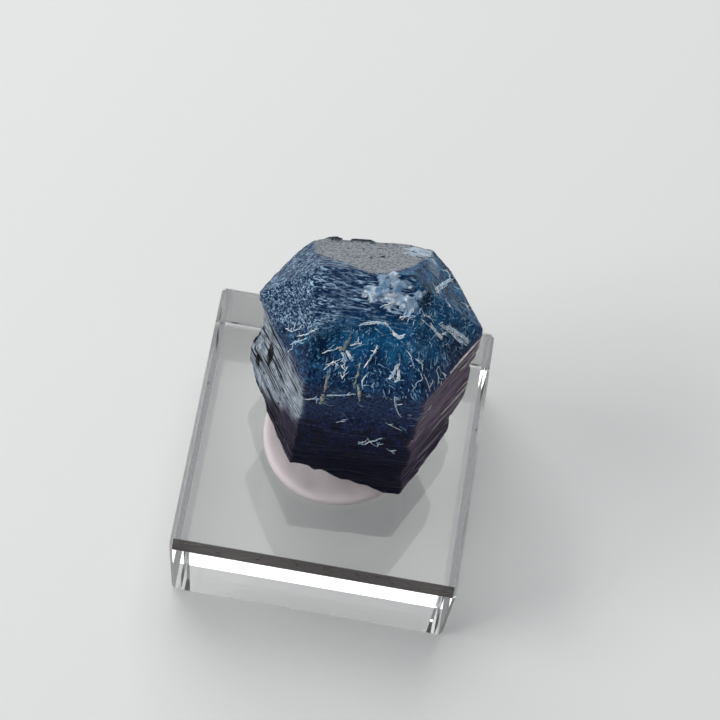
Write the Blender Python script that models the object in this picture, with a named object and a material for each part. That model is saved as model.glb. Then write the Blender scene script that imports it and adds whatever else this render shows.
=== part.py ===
"""A dark blue quartz crystal on its display base.

Three pieces: a clear acrylic block, a flat disc of white mineral tack on it, and one six-sided
crystal that leans back a little on the tack. The crystal is a prism with a low tip, which an etched
roof and a flatter back face cut short. Growth ledges cross its sides, and its foot is broken off.

The origin is the middle of the block's underside, +Z is up and the crystal's widest side faces -Y.
"""

import math
import random

import bmesh
import bpy
import numpy as np
from mathutils import Matrix, Vector, noise

# Sizes below are in millimetres and angles in degrees.
MM = 0.001

BLOCK_SIDE = 25.4
BLOCK_HEIGHT = 12.7
BLOCK_EDGE_BEVEL = 0.3
BLOCK_SAWN_BEVEL = 0.75

TACK_RADIUS = 6.85
TACK_THICKNESS = 1.0
TACK_EDGE_ROUND = 0.4
TACK_CENTRE = (0.35, 0.15)
TACK_WOBBLE = 0.12
TOUCH_GAP = 0.3

# The crystal's own frame: its long axis leans, and its front side is turned a little to the right.
CRYSTAL_FOOT = (0.89, 2.12, 13.7)
LEAN_RIGHT = 1.45
LEAN_BACK = 10.25
FRONT_TURN = 2.8
SHOULDER_HEIGHT = 15.5

# Sides run anticlockwise from the front: front, right front, right back, back, left back, left front.
# Each has its turn from the front, its distance from the long axis, the tilt of the tip face above it,
# and its ledges. The etched back one stands a little askew.
BACK = 3
SIDE_TURNS = (0.0, 60.0, 120.0, 184.5, 240.0, 300.0)
SIDE_DISTANCES = (7.82, 8.14, 8.65, 7.4, 8.4, 8.09)
TIP_TILTS = (51.8, 55.0, 48.0, 40.0, 55.0, 64.5)
LEDGE_COUNTS = (9, 14, 12, 11, 12, 19)
LEDGE_DEPTHS = (0.08, 0.26, 0.22, 0.18, 0.2, 0.18)
# Narrow faces that blunt an upright edge: the turn from the front side, and the distance out.
CORNER_FACES = ((90.0, 9.3), (151.0, 8.45), (216.0, 8.15), (271.0, 9.6))
# The etched roof across the tip: a point on it, its turn from the front and its tilt.
ROOF_POINT = (-1.2, -4.25, 20.2)
ROOF_TURN = -15.0
ROOF_TILT = 33.0

# Each face of the broken foot passes through three points, given in the object's own frame.
FOOT_FACES = (
    ((0.0, 0.0, 14.6), (5.0, 0.0, 14.6), (0.0, 5.0, 14.5)),
    ((6.17, -5.33, 14.9), (9.51, 1.32, 15.5), (2.5, -1.0, 14.5)),
    ((1.2, -5.36, 16.4), (-3.45, -5.25, 18.1), (-1.5, -1.5, 14.5)),
    ((-4.0, -4.6, 17.3), (-8.48, 2.91, 19.3), (-2.6, 3.5, 14.5)),
    ((9.5, 1.3, 15.3), (10.5, 3.7, 18.9), (5.0, 6.0, 14.5)),
    ((5.5, 11.0, 17.2), (-4.5, 11.0, 18.0), (0.0, 7.0, 14.5)),
)

LEDGE_SLOPE_WIDTHS = (0.1, 0.45)
LEDGE_COLUMNS = 6
TIP_LEDGES = 7
TIP_LEDGE_DEPTH = 0.08
BREAK_GRAIN = 1.3
BREAK_DEPTH = 0.34
BREAK_LIMIT = 0.15
BREAK_FADE = 1.8
SKIN_GRAIN = 1.5
SKIN_DEPTH = 0.05
SEED = 23
# Faces that meet flatter than this keep one shared move where they meet, so that none folds over.
SHALLOW = 0.3
CLOSE_POINTS = 0.06
FOLDED = 0.3
FOLD_ROUNDS = 40

# Chips and pits in the crystal: the centre and half sizes in its own frame, and a turn about its axis.
CHIPS = (
    ("chip_left_edge", (-10.45, 0.3, 11.6), (2.0, 3.6, 4.5), 7.0),
    ("pit_left_upper", (-7.66, -2.85, 11.2), (0.4, 0.3, 1.35), 32.8),
    ("pit_left_lower", (-8.66, -1.2, 7.6), (0.36, 0.34, 0.7), 32.8),
    ("crack_left", (-6.66, -4.55, 4.6), (0.3, 2.3, 0.2), 32.8),
    ("notch_back_edge", (-3.2, 7.15, 15.6), (0.5, 0.6, 0.5), 10.0),
    ("pit_back_face", (0.9, 3.5, 18.85), (0.4, 0.35, 0.35), 0.0),
    ("chip_front_foot", (4.4, -7.6, 0.2), (0.5, 0.7, 0.7), 15.0),
    ("chip_right_edge", (9.45, 0.3, 10.2), (0.5, 1.0, 1.1), 0.0),
)


def sharp_mesh_object(bm, name, collection):
    """Turns a finished bmesh, in millimetres, into a flat-shaded object in metres."""
    bmesh.ops.scale(bm, vec=(MM, MM, MM), verts=bm.verts)
    mesh = bpy.data.meshes.new(name)
    bm.to_mesh(mesh)
    bm.free()
    obj = bpy.data.objects.new(name, mesh)
    collection.objects.link(obj)
    return obj


def finish_material(obj, name, colour, roughness, transmission=0.0, ior=1.5):
    """Gives the object a Principled material of its own."""
    material = bpy.data.materials.new(name)
    material.use_nodes = True
    shader = material.node_tree.nodes["Principled BSDF"]
    shader.inputs["Base Color"].default_value = (*colour, 1.0)
    shader.inputs["Roughness"].default_value = roughness
    shader.inputs["Transmission Weight"].default_value = transmission
    shader.inputs["IOR"].default_value = ior
    obj.data.materials.append(material)


def build_acrylic_base(collection):
    """The block: small bevels all round, and a wider sawn bevel along the top edge at the front."""
    bm = bmesh.new()
    size = Matrix.Diagonal((BLOCK_SIDE, BLOCK_SIDE, BLOCK_HEIGHT, 1.0))
    lift = Matrix.Translation((0.0, 0.0, BLOCK_HEIGHT / 2))
    bmesh.ops.create_cube(bm, size=1.0, matrix=lift @ size)
    front_top = [
        edge
        for edge in bm.edges
        if all(v.co.y < 0 and v.co.z > BLOCK_HEIGHT / 2 for v in edge.verts)
    ]
    bevel(bm, front_top, BLOCK_SAWN_BEVEL)
    corners = [edge for edge in bm.edges if edge.calc_face_angle() > math.radians(60)]
    bevel(bm, corners, BLOCK_EDGE_BEVEL)
    obj = sharp_mesh_object(bm, "acrylic_base", collection)
    finish_material(obj, "clear acrylic", (0.93, 0.95, 0.95), 0.03, transmission=1.0, ior=1.49)
    return obj


def bevel(bm, edges, width):
    """Cuts the edges off flat."""
    bmesh.ops.bevel(
        bm,
        geom=edges,
        offset=width,
        offset_type="OFFSET",
        segments=1,
        profile=0.5,
        affect="EDGES",
        material=-1,
    )


def build_mineral_tack(collection):
    """The disc of putty: pressed flat, with a soft rim that is not quite round."""
    bm = bmesh.new()
    middle = Vector((*TACK_CENTRE, BLOCK_HEIGHT + TOUCH_GAP + TACK_THICKNESS / 2))
    bmesh.ops.create_cone(
        bm,
        cap_ends=True,
        segments=48,
        radius1=TACK_RADIUS,
        radius2=TACK_RADIUS,
        depth=TACK_THICKNESS,
        matrix=Matrix.Translation(middle),
    )
    rim = [e for e in bm.edges if abs(e.verts[0].co.z - e.verts[1].co.z) < 1e-5]
    bmesh.ops.bevel(
        bm,
        geom=rim,
        offset=TACK_EDGE_ROUND,
        offset_type="OFFSET",
        segments=3,
        profile=0.5,
        affect="EDGES",
        material=-1,
    )
    for vert in bm.verts:
        out = Vector((vert.co.x - middle.x, vert.co.y - middle.y, 0.0))
        turn = math.atan2(out.y, out.x)
        wobble = math.sin(2 * turn + 0.7) + 0.6 * math.sin(3 * turn + 2.0)
        vert.co += out.normalized() * TACK_WOBBLE * wobble
    obj = sharp_mesh_object(bm, "mineral_tack", collection)
    obj.data.shade_smooth()
    obj.data.set_sharp_from_angle(angle=math.radians(40))
    finish_material(obj, "white putty", (0.78, 0.75, 0.73), 0.65)
    return obj


def crystal_frame():
    """The matrix from the crystal's own frame, with its long axis up, to the object's frame."""
    lean = Vector((math.tan(math.radians(LEAN_RIGHT)), math.tan(math.radians(LEAN_BACK)), 1.0))
    up = lean.normalized()
    right = Vector((0.0, 1.0, 0.0)).cross(up).normalized()
    back = up.cross(right)
    turned = Matrix((right, back, up)).transposed().to_4x4()
    return Matrix.Translation(CRYSTAL_FOOT) @ turned


def outward(turn, tilt=90.0):
    """The direction that is turned from the front side, and tilted from the long axis."""
    azimuth = math.radians(turn + FRONT_TURN - 90.0)
    tilt = math.radians(tilt)
    flat = math.sin(tilt)
    return Vector((flat * math.cos(azimuth), flat * math.sin(azimuth), math.cos(tilt)))


def crystal_faces():
    """The flat faces of the crystal, each a point on it, its outward direction and its kind."""
    faces = []
    for index, (turn, distance, tilt) in enumerate(zip(SIDE_TURNS, SIDE_DISTANCES, TIP_TILTS)):
        out = outward(turn)
        faces.append((out * distance, out, "side"))
        shoulder = out * distance + Vector((0.0, 0.0, SHOULDER_HEIGHT))
        kind = "etched" if index == BACK else "tip"
        faces.append((shoulder, outward(turn, tilt), kind))
    for turn, distance in CORNER_FACES:
        out = outward(turn)
        faces.append((out * distance, out, "corner"))
    faces.append((Vector(ROOF_POINT), outward(ROOF_TURN, ROOF_TILT), "tip"))
    to_crystal = crystal_frame().inverted()
    for points in FOOT_FACES:
        first, second, third = (to_crystal @ Vector(point) for point in points)
        across = (second - first).cross(third - first).normalized()
        inside = Vector((0.0, 0.0, SHOULDER_HEIGHT / 2))
        out = -across if across.dot(inside - first) > 0 else across
        faces.append((first, out, "foot"))
    return faces


def cut_to_faces(bm, faces, side_of):
    """Cuts a large block down to the faces, and marks each new face with its number."""
    for number, (point, out, _) in enumerate(faces):
        whole = bm.verts[:] + bm.edges[:] + bm.faces[:]
        found = bmesh.ops.bisect_plane(
            bm, geom=whole, dist=1e-5, plane_co=point, plane_no=out, clear_outer=True
        )
        rim = [item for item in found["geom_cut"] if isinstance(item, bmesh.types.BMEdge)]
        closed = bmesh.ops.edgeloop_fill(bm, edges=rim)
        for face in closed["faces"]:
            face[side_of] = number


def score(bm, side_of, number, point, across):
    """Draws a line over one face, where the plane through the point meets it."""
    faces = [face for face in bm.faces if face[side_of] == number]
    edges = {edge for face in faces for edge in face.edges}
    verts = {vert for face in faces for vert in face.verts}
    whole = list(verts) + list(edges) + faces
    bmesh.ops.bisect_plane(bm, geom=whole, dist=0.02, plane_co=point, plane_no=across)


def reach(bm, side_of, number, direction):
    """The lowest and highest places of one face along a direction."""
    places = [
        vert.co.dot(direction)
        for face in bm.faces
        if face[side_of] == number
        for vert in face.verts
    ]
    return min(places), max(places)


def make_ledges(rng, low, high, count, depth):
    """Growth ledges up a face: height, width, depth and phase. They step out and in about its plane."""
    ledges = []
    level = 0.0
    for step in range(count):
        height = low + (high - low) * (step + rng.uniform(0.15, 0.85)) / count
        width = rng.uniform(*LEDGE_SLOPE_WIDTHS)
        change = depth * rng.uniform(0.2, 1.0)
        outwards = rng.random() < 0.5 - 0.5 * level / depth
        change = change if outwards else -change
        level += change
        ledges.append((height, width, change, rng.uniform(0.0, 50.0)))
    return ledges


def ledge_relief(ledges, along, place):
    """How far the surface stands out at a height up the face, with ledges that fade along it."""
    relief = 0.0
    for height, width, change, phase in ledges:
        below = min(max((height - along) / width, 0.0), 1.0)
        fade = 0.5 + 1.4 * noise.noise(Vector((0.3 * place, phase, 0.0)))
        relief += below * change * min(max(fade, 0.0), 1.0)
    return relief


def score_ledges(bm, side_of, number, ledges, up, across, rng):
    """Scores both edges of each ledge, and the upright lines where it may fade out."""
    for height, width, _, _ in ledges:
        score(bm, side_of, number, up * height, up)
        score(bm, side_of, number, up * (height - width), up)
    low, high = reach(bm, side_of, number, across)
    for column in range(1, LEDGE_COLUMNS):
        place = low + (high - low) * (column + rng.uniform(-0.3, 0.3)) / LEDGE_COLUMNS
        score(bm, side_of, number, across * place, across)


def score_grid(bm, side_of, number, out, grain):
    """Scores a skewed net over a face, so that it can take an uneven surface."""
    first = out.orthogonal().normalized()
    for turn in (0.0, 63.0, 121.0):
        across = Matrix.Rotation(math.radians(turn), 3, out) @ first
        low, high = reach(bm, side_of, number, across)
        count = max(1, round((high - low) / grain))
        for line in range(1, count):
            place = low + (high - low) * line / count
            score(bm, side_of, number, across * place, across)


def broken_relief(point):
    """An uneven, shell-like break: large hollows with smaller jags."""
    hollow = noise.noise(point * 0.33 + Vector((3.1, 7.7, 1.3)))
    jag = noise.noise(point * 1.1 + Vector((9.4, 2.2, 5.8)))
    return min(BREAK_DEPTH * (1.1 * hollow + 0.8 * jag - 0.25), BREAK_LIMIT)


def face_shift(vert, faces, reliefs, side_of):
    """The move of a point by which each face that meets there moves out by its own relief."""
    numbers = sorted({face[side_of] for face in vert.link_faces})
    outs = np.array([faces[number][1] for number in numbers])
    amounts = np.array([reliefs[number](vert.co) for number in numbers])
    return Vector(np.linalg.pinv(outs, rcond=SHALLOW) @ amounts)


def foot_shift(point, faces):
    """The move of a point by the foot's uneven break, which fades out above the foot."""
    total = 0.0
    move = Vector()
    for face_point, out, kind in faces:
        if kind == "foot":
            weight = max(0.0, 1.0 - out.dot(face_point - point) / BREAK_FADE)
            total += weight
            move += out * weight
    return move * broken_relief(point) / max(1.0, total)


def smooth_folds(bm, faces, side_of):
    """Draws the points of each triangle that has folded over towards their neighbours."""
    for _ in range(FOLD_ROUNDS):
        bm.normal_update()
        folded = [face for face in bm.faces if face.normal.dot(faces[face[side_of]][1]) < FOLDED]
        if not folded:
            return
        verts = list({vert for face in folded for vert in face.verts})
        bmesh.ops.smooth_vert(
            bm, verts=verts, factor=0.5, use_axis_x=True, use_axis_y=True, use_axis_z=True
        )


def build_crystal(collection, cutters):
    """The crystal: flat faces first, then ledges, an uneven foot, and its chips and pits."""
    rng = random.Random(SEED)
    bm = bmesh.new()
    side_of = bm.faces.layers.int.new("side")
    bmesh.ops.create_cube(bm, size=80.0)
    faces = crystal_faces()
    cut_to_faces(bm, faces, side_of)
    up = Vector((0.0, 0.0, 1.0))
    reliefs = []
    for number, (_, out, kind) in enumerate(faces):
        if kind == "foot":
            score_grid(bm, side_of, number, out, BREAK_GRAIN)
            reliefs.append(lambda point: 0.0)
        elif kind == "etched":
            score_grid(bm, side_of, number, out, SKIN_GRAIN)
            reliefs.append(lambda point: SKIN_DEPTH * noise.noise(point * 0.9))
        elif kind == "corner":
            reliefs.append(lambda point: 0.0)
        else:
            count, depth = TIP_LEDGES, TIP_LEDGE_DEPTH
            if kind == "side":
                count, depth = LEDGE_COUNTS[number // 2], LEDGE_DEPTHS[number // 2]
            across = up.cross(out).normalized()
            low, high = reach(bm, side_of, number, up)
            ledges = make_ledges(rng, low, high, count, depth)
            score_ledges(bm, side_of, number, ledges, up, across, rng)
            reliefs.append(
                lambda point, ledges=ledges, across=across: ledge_relief(
                    ledges, point.z, point.dot(across)
                )
            )
    bmesh.ops.triangulate(bm, faces=bm.faces[:], quad_method="BEAUTY", ngon_method="BEAUTY")
    bmesh.ops.dissolve_degenerate(bm, dist=CLOSE_POINTS, edges=bm.edges[:])
    bmesh.ops.triangulate(bm, faces=bm.faces[:])
    for vert in bm.verts:
        vert.co += face_shift(vert, faces, reliefs, side_of) + foot_shift(vert.co, faces)
    smooth_folds(bm, faces, side_of)
    bmesh.ops.transform(bm, matrix=crystal_frame(), verts=bm.verts)
    obj = sharp_mesh_object(bm, "quartz_crystal", collection)
    finish_material(obj, "blue quartz", (0.02, 0.05, 0.1), 0.25, transmission=0.4, ior=1.544)
    for name, centre, half_sizes, degrees in CHIPS:
        cutter = build_chip_cutter(name, centre, half_sizes, degrees, cutters)
        cut = obj.modifiers.new(name, "BOOLEAN")
        cut.operation = "DIFFERENCE"
        cut.solver = "EXACT"
        cut.object = cutter
    return obj


def build_chip_cutter(name, centre, half_sizes, degrees, cutters):
    """A rough lump that takes a chip or a pit out of the crystal."""
    bm = bmesh.new()
    bmesh.ops.create_icosphere(bm, subdivisions=2, radius=1.0)
    place = Matrix.Translation(centre)
    turn = Matrix.Rotation(math.radians(degrees), 4, "Z")
    stretch = Matrix.Diagonal((*half_sizes, 1.0))
    bmesh.ops.transform(bm, matrix=crystal_frame() @ place @ turn @ stretch, verts=bm.verts)
    cutter = sharp_mesh_object(bm, name, cutters)
    cutter.hide_render = True
    cutter.display_type = "WIRE"
    return cutter


def main():
    for obj in list(bpy.data.objects):
        bpy.data.objects.remove(obj, do_unlink=True)
    specimen = bpy.data.collections.new("quartz specimen")
    cutters = bpy.data.collections.new("cutters")
    bpy.context.scene.collection.children.link(specimen)
    bpy.context.scene.collection.children.link(cutters)
    build_acrylic_base(specimen)
    build_mineral_tack(specimen)
    build_crystal(specimen, cutters)


if __name__ == "__main__":
    main()
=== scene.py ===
"""A blue quartz crystal, stuck with white putty to a clear acrylic display block."""

import itertools
import math

import bmesh
import bpy
import numpy as np
from mathutils import Matrix, Vector
from mathutils.bvhtree import BVHTree


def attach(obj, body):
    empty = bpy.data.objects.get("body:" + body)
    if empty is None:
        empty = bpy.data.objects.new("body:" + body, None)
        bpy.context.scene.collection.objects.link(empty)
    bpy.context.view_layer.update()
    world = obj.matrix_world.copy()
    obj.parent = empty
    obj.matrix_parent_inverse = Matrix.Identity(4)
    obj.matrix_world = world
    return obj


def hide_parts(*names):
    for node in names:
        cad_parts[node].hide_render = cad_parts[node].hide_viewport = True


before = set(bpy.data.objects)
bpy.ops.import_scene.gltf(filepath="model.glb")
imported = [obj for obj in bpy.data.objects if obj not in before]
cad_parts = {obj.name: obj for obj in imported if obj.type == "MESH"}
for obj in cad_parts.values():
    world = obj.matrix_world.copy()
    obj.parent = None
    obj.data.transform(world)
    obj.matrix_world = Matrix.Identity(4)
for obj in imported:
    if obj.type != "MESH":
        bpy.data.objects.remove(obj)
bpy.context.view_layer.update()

bl_info = {
    "name": "Blue quartz specimen",
    "version": (1, 0, 0),
    "blender": (4, 5, 0),
    "location": "3D View > Sidebar > Specimen",
    "description": "Builds a blue quartz crystal on its acrylic display block",
    "category": "Object",
}

# Sizes in the code are in millimetres and angles in degrees. The crystal's own frame starts at its
# foot, with z along its long axis and its front side towards -y.
MM = 0.001
QUARTZ_IOR = 1.544
ACRYLIC_IOR = 1.49

BLOCK_SIDE = 25.4
BLOCK_HEIGHT = 12.7
SAWN_BEVEL = 0.75

DISC_RADIUS = 6.85
DISC_CENTRE = (0.35, 0.15)
DISC_TOP = 14.0

CRYSTAL_FOOT = (0.89, 2.12, 13.7)
LEAN_RIGHT = 1.45
LEAN_BACK = 10.25
FRONT_TURN = 2.8
SHOULDER_HEIGHT = 15.5
# The etched roof between the front tip face and the back one: a point, its turn and its tilt.
ROOF_POINT = (-1.2, -4.25, 20.2)
ROOF_SLOPE = (-15.0, 33.0)

# The sides of the crystal: turn from the front, distance from the long axis, tilt of the tip face
# above, and how deep its steps, its grooves and its finest lines are.
SIDES = {
    "front": (0.0, 7.82, 51.8, (0.12, 0.06, 0.03)),
    "right_front": (60.0, 8.14, 55.0, (0.24, 0.07, 0.03)),
    "right_back": (120.0, 8.22, 48.0, (0.16, 0.06, 0.02)),
    "back": (184.5, 7.6, 40.0, (0.2, 0.05, 0.02)),
    "left_back": (240.0, 8.58, 55.0, (0.22, 0.06, 0.02)),
    "left_front": (300.0, 8.09, 64.5, (0.16, 0.09, 0.03)),
}
# Its blunted upright edges: turn from the front and distance from the long axis.
CORNERS = ((90.0, 9.3), (151.0, 8.08), (216.0, 8.32), (271.0, 9.6))
# The break at the foot: three points on each of its faces, in the part's frame.
FOOT_FACES = (
    ((0.0, 0.0, 14.6), (5.0, 0.0, 14.6), (0.0, 5.0, 14.5)),
    ((6.17, -5.33, 14.9), (9.51, 1.32, 15.5), (2.5, -1.0, 14.5)),
    ((1.2, -5.36, 16.4), (-3.45, -5.25, 18.1), (-1.5, -1.5, 14.5)),
    ((-4.0, -4.6, 17.3), (-8.48, 2.91, 19.3), (-2.6, 3.5, 14.5)),
    ((9.5, 1.3, 15.3), (10.5, 3.7, 18.9), (5.0, 6.0, 14.5)),
    ((5.5, 11.0, 17.2), (-4.5, 11.0, 18.0), (0.0, 7.0, 14.5)),
)
# Chips and pits: centre and half sizes in the crystal's frame, and a turn about its long axis.
# Those of the first group are narrow enough to look dark inside, and get painted shade there.
DARK_CHIPS = (
    ((-7.66, -2.85, 11.2), (0.5, 0.36, 1.5), 32.8),
    ((-8.66, -1.2, 7.6), (0.4, 0.36, 0.8), 32.8),
    ((-6.66, -4.55, 4.6), (0.3, 2.3, 0.2), 32.8),
    ((0.0, 3.55, 18.75), (0.17, 0.28, 0.28), 0.0),
)
CHIPS = DARK_CHIPS + (
    ((-10.35, 0.3, 11.6), (1.9, 3.6, 4.5), 7.0),
    ((-3.2, 7.15, 15.6), (0.5, 0.6, 0.5), 10.0),
    ((4.4, -7.6, 0.2), (0.5, 0.7, 0.7), 15.0),
    ((9.45, 0.3, 10.2), (0.5, 1.0, 1.1), 0.0),
)

# Strands are bent every STRAND_STEP. Fibres of at least THICK are bundles, strands between CREST and
# WIDEST stand out most, and the widest lie deeper than the rest.
STRAND_STEP = 0.12
THICK = 0.1
CREST = 0.09
WIDEST = 0.135
# Pale fibres that break the surface, as drawn on each flat face: a width, then points that lie so
# far right of the face's middle and so far up from the shoulder, or from the roof's own point.
PALE_FIBRES = {
    "roof": (
        (0.08, (1.3, 1.7), (1.7, 2.1), (2.1, 2.3)),
    ),
    "front_tip": (
        (0.11, (-1.3, 5.6), (-0.7, 5.9), (0.1, 6.1), (0.8, 6.1), (1.2, 5.9)),
        (0.14, (1.4, 5.5), (2.1, 5.1), (2.6, 5.4)),
        (0.06, (1.2, 5.9), (1.7, 5.4), (2.2, 5.0)),
        (0.08, (-3.8, 2.9), (-3.3, 3.2), (-2.8, 3.4)),
        (0.08, (-1.7, 3.9), (-1.0, 4.2)),
        (0.11, (-2.3, 3.3), (-2.0, 2.9), (-1.8, 2.5)),
        (0.11, (-2.0, 3.5), (-1.6, 3.0), (-1.3, 2.6)),
        (0.08, (0.5, 4.2), (0.3, 3.5), (-0.3, 2.2)),
        (0.06, (0.0, 3.7), (0.5, 3.7)),
        (0.06, (0.1, 1.9), (-0.3, 0.9), (-0.1, 0.4)),
        (0.1, (2.4, 3.0), (2.2, 2.3), (1.7, 1.3)),
        (0.11, (2.5, 2.5), (2.6, 1.6), (2.3, 1.3)),
        (0.08, (1.8, 2.2), (2.3, 2.0)),
        (0.06, (2.8, 4.2), (3.3, 3.7), (3.6, 3.0)),
        (0.06, (-3.5, 1.5), (-3.1, 2.0), (-2.8, 2.4)),
        (0.05, (-3.4, 2.0), (-2.7, 2.3), (-2.2, 2.7)),
        (0.06, (-1.9, 1.0), (-1.8, 1.6), (-1.6, 2.1)),
        (0.05, (4.0, 1.4), (4.2, 1.7), (4.7, 2.1)),
        (0.08, (1.9, 6.7), (2.7, 7.0), (3.0, 7.5)),
        (0.06, (2.6, 6.8), (2.8, 7.0)),
    ),
    "right_front_tip": (
        (0.06, (-3.2, 3.6), (-3.0, 3.3), (-2.7, 2.6)),
        (0.06, (-3.1, 2.0), (-3.1, 1.2), (-3.2, 0.2)),
        (0.06, (-1.7, 1.2), (-1.8, 0.3)),
        (0.06, (-1.3, 0.7), (-1.1, 0.0)),
        (0.08, (-0.9, 6.0), (-0.5, 5.0), (0.0, 3.7), (0.1, 2.9)),
        (0.13, (-0.3, 5.0), (-0.1, 3.9), (0.3, 2.7)),
        (0.11, (0.3, 3.3), (0.9, 3.0)),
        (0.1, (0.5, 4.4), (1.3, 2.8), (1.8, 1.4), (2.5, 0.3)),
        (0.11, (1.0, 3.8), (1.9, 2.1), (2.8, 0.3)),
        (0.06, (1.4, 3.4), (2.2, 1.8), (2.8, 0.6)),
        (0.08, (1.3, 2.8), (1.6, 1.6), (2.0, 0.9)),
        (0.06, (2.7, 4.9), (2.6, 4.4)),
        (0.06, (0.1, 4.7), (0.0, 5.3), (-0.5, 6.1)),
    ),
    "right_back_tip": (
        (0.11, (-2.4, 6.7), (-0.8, 3.7), (1.0, 0.2)),
        (0.06, (-2.6, 6.5), (-0.6, 2.8)),
        (0.08, (1.2, 2.2), (1.4, 1.1), (1.0, 0.7)),
        (0.06, (-0.4, 1.5), (-0.4, -0.2)),
        (0.06, (-2.2, 1.9), (-2.2, 0.8), (-2.1, -0.3)),
    ),
    "left_front_tip": (
        (0.06, (0.7, 1.7), (1.4, 2.9), (2.0, 4.4)),
        (0.06, (0.7, 0.7), (1.2, 1.7), (1.7, 2.8)),
        (0.06, (-0.7, 1.0), (0.0, 1.5), (0.5, 2.5)),
        (0.05, (1.1, 0.7), (0.8, 1.1), (1.3, 2.0)),
    ),
    "front": (
        (0.06, (2.5, 0.2), (2.7, -0.9), (3.2, -2.4)),
        (0.06, (2.8, -1.0), (3.3, -0.7)),
        (0.08, (-2.9, -1.0), (-1.7, -0.7), (-0.6, -0.3)),
        (0.05, (-4.6, -2.0), (-3.3, -1.6)),
        (0.06, (0.9, -7.9), (1.3, -7.2), (1.8, -6.8), (2.3, -6.3)),
        (0.06, (1.1, -6.6), (1.6, -7.4), (2.0, -7.7)),
        (0.06, (0.4, -7.3), (1.0, -7.8)),
        (0.06, (2.1, -7.8), (2.2, -7.0)),
        (0.05, (2.9, -8.0), (3.7, -8.6)),
        (0.05, (-1.7, -4.8), (-0.8, -4.2)),
        (0.05, (2.3, -4.0), (3.8, -4.8)),
    ),
    "right_front": (
        (0.06, (-2.9, -3.4), (-2.2, -3.6)),
    ),
}
# Worn crests of growth steps on the right side, which catch the light; their pale strands are painted
# highlights.
LEDGE_HIGHLIGHTS = {
    "right_front": (
        (0.11, (5.4, -2.2), (3.2, -2.0), (1.3, -1.9)),
        (0.08, (4.3, -1.1), (2.5, -1.0), (0.8, -0.9)),
        (0.1, (4.0, -0.3), (1.6, -0.2), (-0.5, -0.2)),
        (0.12, (4.9, -8.1), (2.6, -7.9), (0.3, -7.8)),
        (0.09, (5.2, -7.4), (2.8, -7.3)),
        (0.06, (1.4, -8.8), (-0.9, -8.7)),
        (0.07, (-2.3, -3.8), (-2.3, -3.2)),
        (0.07, (-3.5, -4.0), (-3.1, -3.7)),
        (0.07, (-4.1, -6.8), (-3.9, -6.1)),
        (0.07, (-1.9, -0.3), (-1.7, 0.0)),
    ),
}
# Broad tan flecks. The widest are mostly sunk in the surface.
TAN_FLECKS = {
    "front_tip": (
        (0.16, (-1.8, 4.8), (-1.9, 4.3), (-2.1, 3.7), (-2.5, 3.3)),
        (0.12, (-1.7, 4.6), (-2.0, 4.0), (-2.1, 3.4)),
        (0.16, (-2.7, 3.5), (-2.3, 3.6)),
        (0.21, (-3.1, 1.5), (-3.1, 0.4), (-3.2, -0.7)),
        (0.19, (-0.7, 2.5), (-0.7, 1.6), (-0.9, 0.4)),
        (0.14, (2.3, 2.7), (2.2, 1.9)),
    ),
    "front": (
        (0.13, (-3.2, -0.9), (-3.2, -1.8), (-3.3, -2.4)),
        (0.11, (-0.6, 0.9), (-0.4, 0.2), (-0.2, -1.1)),
    ),
}
# The flakes at the tip: the lowest and highest corner of where they lie, and how many there are.
FLAKE_SITES = ((-1.6, -4.0, 20.4), (4.8, 0.0, 23.2), 420)
# The whitish patches at the right of the dull back face: centre and half sizes.
BLOOMS = (((2.9, 6.3, 17.2), (1.9, 2.0, 2.0)), ((4.3, 4.2, 18.4), (0.8, 1.9, 1.9)))
# The ends of the dull back face, seen along the long axis: a point on each, and the way inwards.
MATTE_LEFT = ((-5.13, 2.32), (0.647, 0.763))
MATTE_RIGHT = ((0.754, -0.85), (-0.862, 0.507))
# Frosted bruises at the tip: centre and radius.
BRUISES = (
    ((1.15, -1.2, 22.45), 0.95),
    ((1.4, -1.75, 22.2), 0.8),
    ((-0.6, -2.15, 21.6), 0.55),
    ((0.1, -2.25, 21.65), 0.6),
    ((1.6, -2.4, 21.75), 0.9),
    ((2.4, -2.4, 21.7), 0.9),
    ((0.8, -2.7, 21.5), 0.45),
    ((3.4, -1.8, 21.6), 0.6),
    ((2.9, -3.0, 21.2), 0.5),
)

# The lights: place and side in metres, and watts. All aim at AIM.
LIGHTS = {
    "back light": ((-0.12, 0.32, 0.56), 0.6, 2.7),
    "left light": ((-0.48, -0.12, 0.36), 0.35, 1.6),
}
AIM = (0.0, 0.0, 0.02)
# The camera: its place, the ways that it looks and that its picture's right side points, its lens.
CAMERA_PLACE = (1.327, -65.152, 179.221)
CAMERA_FORWARD = (-0.00241, 0.40121, -0.91598)
CAMERA_RIGHT = (0.98515, 0.15819, 0.0667)
CAMERA_LENS = 100.0
CAMERA_SENSOR = 36.0


def linear(colour):
    """A colour given as an sRGB hex value, in the linear values that shaders use."""
    shades = [int(colour[i : i + 2], 16) / 255 for i in (1, 3, 5)]
    return [s / 12.92 if s <= 0.04045 else ((s + 0.055) / 1.055) ** 2.4 for s in shades]


def add_node(tree, kind, inputs=(), **settings):
    """Adds a node, with its settings and with a value or a link for each named input."""
    node = tree.nodes.new(kind)
    for name, value in settings.items():
        setattr(node, name, value)
    for name, value in dict(inputs).items():
        socket = node.inputs[name]
        if isinstance(value, bpy.types.NodeSocket):
            tree.links.new(value, socket)
        else:
            socket.default_value = (*value, 1.0) if socket.type == "RGBA" and len(value) == 3 else value
    return node


def new_material(name):
    """An empty material with a Principled shader, its tree and that shader."""
    material = bpy.data.materials.new(name)
    material.use_nodes = True
    return material, material.node_tree, material.node_tree.nodes["Principled BSDF"]


def add_piece(mesh, name, material):
    """Links a finished mesh as a piece of the specimen."""
    piece = bpy.data.objects.new(name, mesh)
    bpy.context.scene.collection.objects.link(piece)
    mesh.materials.clear()
    mesh.materials.append(material)
    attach(piece, "root")
    return piece


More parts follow.
